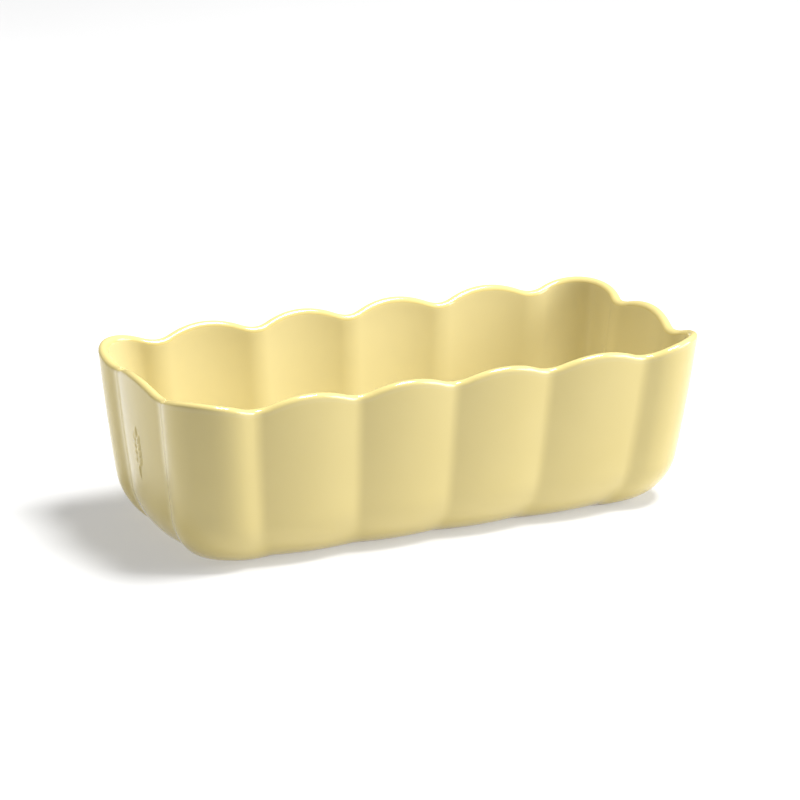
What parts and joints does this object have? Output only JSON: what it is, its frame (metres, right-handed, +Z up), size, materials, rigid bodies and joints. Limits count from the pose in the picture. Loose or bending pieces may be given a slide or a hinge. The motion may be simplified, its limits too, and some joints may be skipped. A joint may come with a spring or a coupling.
{
  "type": "loaf dish",
  "caption": "Long glazed stoneware loaf dish with fluted leaning walls, a wavy rounded rim, a flat floor and a bare foot ring.",
  "frame": {"origin": "on the resting plane, under the middle of the dish", "axes": "+Z up, X along the length, Y across; the relief is on the wall at -X"},
  "size_m": [0.3004, 0.1348, 0.0916],
  "materials": {
    "stoneware": "bare fired clay, matt, buff",
    "glaze": "glossy pale butter yellow glaze"
  },
  "bodies": {
    "root": {"stoneware_body": "stoneware", "glaze_coat": "glaze", "underside_glaze": "glaze", "end_sprig": "stoneware"}
  },
  "joints": []
}
